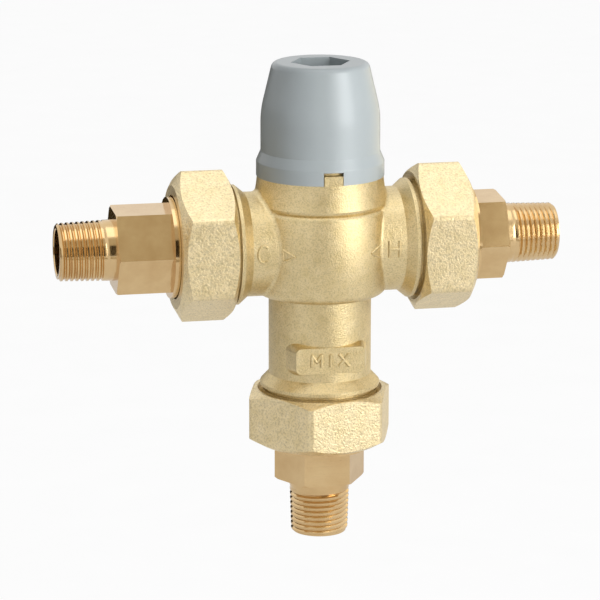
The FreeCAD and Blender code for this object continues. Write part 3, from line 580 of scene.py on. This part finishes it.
# the key's own glare is left to its card, so that brass and cap can be balanced apart
LAMPS = (
    Lamp("key", 38.0, 14.0, 1.4, 1.0, 1.0, 16.5, False),
    Lamp("top", 0.0, 85.0, 1.2, 1.0, 1.0, 2.9),
)
CARDS = (
    Card("card_key", 38.0, 14.0, 1.4, 0.8, 1.0, "#ffffff", 4.4),
    Card("card_back", -165.0, -18.0, 0.8, 1.9, 0.7, "#332a16"),
    Card("card_left", -100.0, -12.0, 0.82, 0.7, 0.6, "#8c8068"),
    Card("card_right", 126.0, -10.0, 0.78, 0.6, 0.6, "#fff2d2", 1.3),
    Card("card_camera", 6.0, 22.0, 0.9, 0.66, 1.3, "#cbc5b5"),
    Card("card_low", 10.0, -22.0, 0.48, 0.3, 0.12, "#b0a890"),
    Card("card_dark", 4.0, 9.0, 0.85, 0.22, 0.6, "#2a2214"),
)


@dataclass
class Studio:
    """A plain pale room: floor, camera and soft lamps."""

    crossing: float
    azimuth: float = 12.27
    elevation: float = 12.45
    distance: float = 1.156
    lens: float = 197.9
    shift_x: float = -0.0333
    shift_y: float = -0.0987
    roll: float = 0.17
    floor_drop: float = 0.07
    ambient: float = 0.28
    paper_glow: float = 0.96
    metal_glow: float = 0.5

    def camera(self) -> None:
        """Put the camera to the front left, a little above, looking at the ports' crossing."""
        turn, rise = math.radians(self.azimuth), math.radians(self.elevation)
        look = Vector((math.sin(turn) * math.cos(rise), math.cos(turn) * math.cos(rise), -math.sin(rise)))
        data = bpy.data.cameras.new("camera")
        data.lens = self.lens
        data.sensor_width = 36.0
        data.shift_x = self.shift_x
        data.shift_y = self.shift_y
        data.clip_end = 50.0
        camera = bpy.data.objects.new("camera", data)
        camera.location = Vector((0, 0, self.crossing)) - look * self.distance
        camera.rotation_mode = "QUATERNION"
        roll = Matrix.Rotation(math.radians(self.roll), 3, "Z")
        camera.rotation_quaternion = (look.to_track_quat("-Z", "Y").to_matrix() @ roll).to_quaternion()
        bpy.context.scene.collection.objects.link(camera)
        bpy.context.scene.camera = camera

    def floor(self) -> None:
        """Lay a wide white floor under the valve."""
        mesh = bmesh.new()
        bmesh.ops.create_grid(mesh, x_segments=2, y_segments=2, size=6.0)
        bmesh.ops.translate(mesh, vec=(0, 0, -self.floor_drop), verts=mesh.verts)
        data = bpy.data.meshes.new("studio_floor")
        mesh.to_mesh(data)
        mesh.free()
        material = bpy.data.materials.new("white_paper")
        material.use_nodes = True
        tree = material.node_tree
        tree.nodes.clear()
        place = add_node(tree, "ShaderNodeTexCoord").outputs["Object"]
        fibre = add_node(tree, "ShaderNodeTexNoise", inputs={"Vector": place, "Scale": 40.0, "Detail": 3.0})
        tone = add_node(tree, "ShaderNodeMix", {"data_type": "RGBA"}, {
            0: fibre.outputs[0], 6: linear("#fdfdfd"), 7: linear("#ffffff")})
        paper = add_node(tree, "ShaderNodeBsdfDiffuse", inputs={"Color": tone.outputs[2]})
        white = add_node(tree, "ShaderNodeEmission", inputs={"Color": tone.outputs[2], "Strength": 1.0})
        path = add_node(tree, "ShaderNodeLightPath")
        in_metal = add_node(tree, "ShaderNodeMath", {"operation": "MULTIPLY"}, {
            0: path.outputs["Is Glossy Ray"], 1: self.metal_glow})
        share = add_node(tree, "ShaderNodeMath", {"operation": "MULTIPLY_ADD"}, {
            0: path.outputs["Is Camera Ray"], 1: self.paper_glow, 2: in_metal.outputs[0]})
        lit = add_node(tree, "ShaderNodeMixShader", inputs={
            0: share.outputs[0], 1: paper.outputs[0], 2: white.outputs[0]})
        add_node(tree, "ShaderNodeOutputMaterial", inputs={"Surface": lit.outputs[0]})
        data.materials.append(material)
        floor = bpy.data.objects.new("studio_floor", data)
        bpy.context.scene.collection.objects.link(floor)

    def room_light(self) -> None:
        """Light the room evenly; what looks straight at it, or sees it in metal, sees white."""
        world = bpy.data.worlds.new("white_room")
        bpy.context.scene.world = world
        world.use_nodes = True
        tree = world.node_tree
        tree.nodes.clear()
        path = add_node(tree, "ShaderNodeLightPath")
        seen = path.outputs["Is Camera Ray"]
        for ray in ("Is Glossy Ray", "Is Transmission Ray"):
            seen = add_node(tree, "ShaderNodeMath", {"operation": "MAXIMUM"}, {
                0: seen, 1: path.outputs[ray]}).outputs[0]
        level = add_node(tree, "ShaderNodeMapRange", inputs={
            "Value": seen, "To Min": self.ambient, "To Max": 1.0})
        light = add_node(tree, "ShaderNodeBackground", inputs={
            "Color": (1, 1, 1, 1), "Strength": level.outputs[0]})
        add_node(tree, "ShaderNodeOutputWorld", inputs={"Surface": light.outputs[0]})

    def place(self, stand: Stand) -> Vector:
        """Find where a lamp or card stands.

        Args:
            stand: The lamp or card.

        Returns:
            Its centre.
        """
        turn, lift = math.radians(stand.bearing), math.radians(stand.rise)
        way = Vector((math.sin(turn) * math.cos(lift), -math.cos(turn) * math.cos(lift), math.sin(lift)))
        return Vector((0, 0, self.crossing)) + way * stand.distance

    def lamp(self, lamp: Lamp) -> None:
        """Hang one soft lamp that faces the valve.

        Args:
            lamp: The lamp.
        """
        data = bpy.data.lights.new(lamp.name, "AREA")
        data.shape = "RECTANGLE"
        data.size = lamp.width
        data.size_y = lamp.height
        data.energy = lamp.watts
        holder = bpy.data.objects.new(lamp.name, data)
        holder.location = self.place(lamp)
        aim = Vector((0, 0, self.crossing)) - holder.location
        holder.rotation_mode = "QUATERNION"
        holder.rotation_quaternion = aim.to_track_quat("-Z", "Y")
        holder.visible_glossy = lamp.in_gloss
        bpy.context.scene.collection.objects.link(holder)

    def card(self, card: Card) -> None:
        """Stand one card round the valve.

        Args:
            card: The card.
        """
        centre = self.place(card)
        mesh = bmesh.new()
        bmesh.ops.create_grid(mesh, x_segments=1, y_segments=1, size=0.5)
        aim = (Vector((0, 0, self.crossing)) - centre).to_track_quat("Z", "Y").to_matrix().to_4x4()
        grow = Matrix.Diagonal((card.width, card.height, 1.0, 1.0))
        bmesh.ops.transform(mesh, matrix=Matrix.Translation(centre) @ aim @ grow, verts=mesh.verts)
        data = bpy.data.meshes.new(card.name)
        mesh.to_mesh(data)
        mesh.free()
        material = bpy.data.materials.new(f"{card.name}_felt")
        material.use_nodes = True
        tree = material.node_tree
        tree.nodes.clear()
        felt = add_node(tree, "ShaderNodeEmission", inputs={
            "Color": linear(card.shade), "Strength": card.strength})
        add_node(tree, "ShaderNodeOutputMaterial", inputs={"Surface": felt.outputs[0]})
        data.materials.append(material)
        holder = bpy.data.objects.new(card.name, data)
        holder.visible_camera = False
        holder.visible_diffuse = False
        holder.visible_shadow = False
        bpy.context.scene.collection.objects.link(holder)

    def build(self) -> None:
        """Set up the whole room."""
        scene = bpy.context.scene
        scene.view_settings.view_transform = "Standard"
        self.camera()
        self.floor()
        self.room_light()
        for lamp in LAMPS:
            self.lamp(lamp)
        for card in CARDS:
            self.card(card)


@dataclass
class Valve:
    """The whole valve: which finish each CAD node takes, and the pieces added to the nodes."""

    frame: dict[str, Any]
    finishes: dict[str, bpy.types.Material] = field(default_factory=dict)

    NODE_FINISH = {
        "valve_body": FORGED_BRASS,
        "bonnet": TURNED_BONNET,
        "spindle": TURNED_BONNET,
        "carriage": ACETAL,
        "carriage_retainer": TURNED_BONNET,
        "override_cup": TURNED_BONNET,
        "spindle_clip": SPRING_WIRE,
        "element_piston": SPRING_WIRE,
        "element_capsule": COPPER,
        "shuttle": ACETAL,
        "spring_seat": ACETAL,
        "protective_cap": MOULDED_ABS,
    }
    WORD_FINISH = {"union_nut": BLASTED_NUT, "o_ring": EPDM, "seal": EPDM, "spring": SPRING_WIRE,
                   "gasket": FIBRE, "check_housing": ACETAL, "check_poppet": ACETAL}

    def material(self, finish: Finish) -> bpy.types.Material:
        """The one material of a finish, made the first time it is asked for."""
        if finish.name not in self.finishes:
            self.finishes[finish.name] = finish.material()
        return self.finishes[finish.name]

    def finish_of(self, node: str) -> Finish:
        """Choose a CAD node's finish by its name or by the kind of piece it is.

        Args:
            node: The node's name.

        Returns:
            The finish.
        """
        if node in self.NODE_FINISH:
            return self.NODE_FINISH[node]
        if node == Port.OUTLET.tail:
            return TURNED_BRASS_Z
        if node.endswith("union_tail"):
            return TURNED_BRASS_X
        return next(finish for word, finish in self.WORD_FINISH.items() if word in node)

    def dress_nodes(self) -> None:
        """Give every CAD node its material."""
        for name, node in self.frame["nodes"].items():
            material = self.material(self.finish_of(name))
            node.data.materials.clear()
            node.data.materials.append(material)
            LOG.info("%s: %s", name, material.name)

    def build(self) -> float:
        """Dress the nodes and add the threads and marks.

        Returns:
            The height of the axis that the two inlets share.
        """
        self.dress_nodes()
        low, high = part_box(Port.HOT.tail)
        crossing = (low.z + high.z) / 2
        for port in Port:
            finish = TURNED_BRASS_Z if port is Port.OUTLET else TURNED_BRASS_X
            Tailpiece(port, self.material(finish)).build(self.frame)
        PortMarks(crossing, self.material(FORGED_BRASS)).build(self.frame["nodes"]["valve_body"])
        return crossing


def main() -> None:
    """Build the valve and its room."""
    logging.basicConfig(level=logging.INFO, format="%(message)s")
    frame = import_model()
    crossing = Valve(frame).build()
    Studio(crossing).build()


if __name__ == "__main__":
    main()
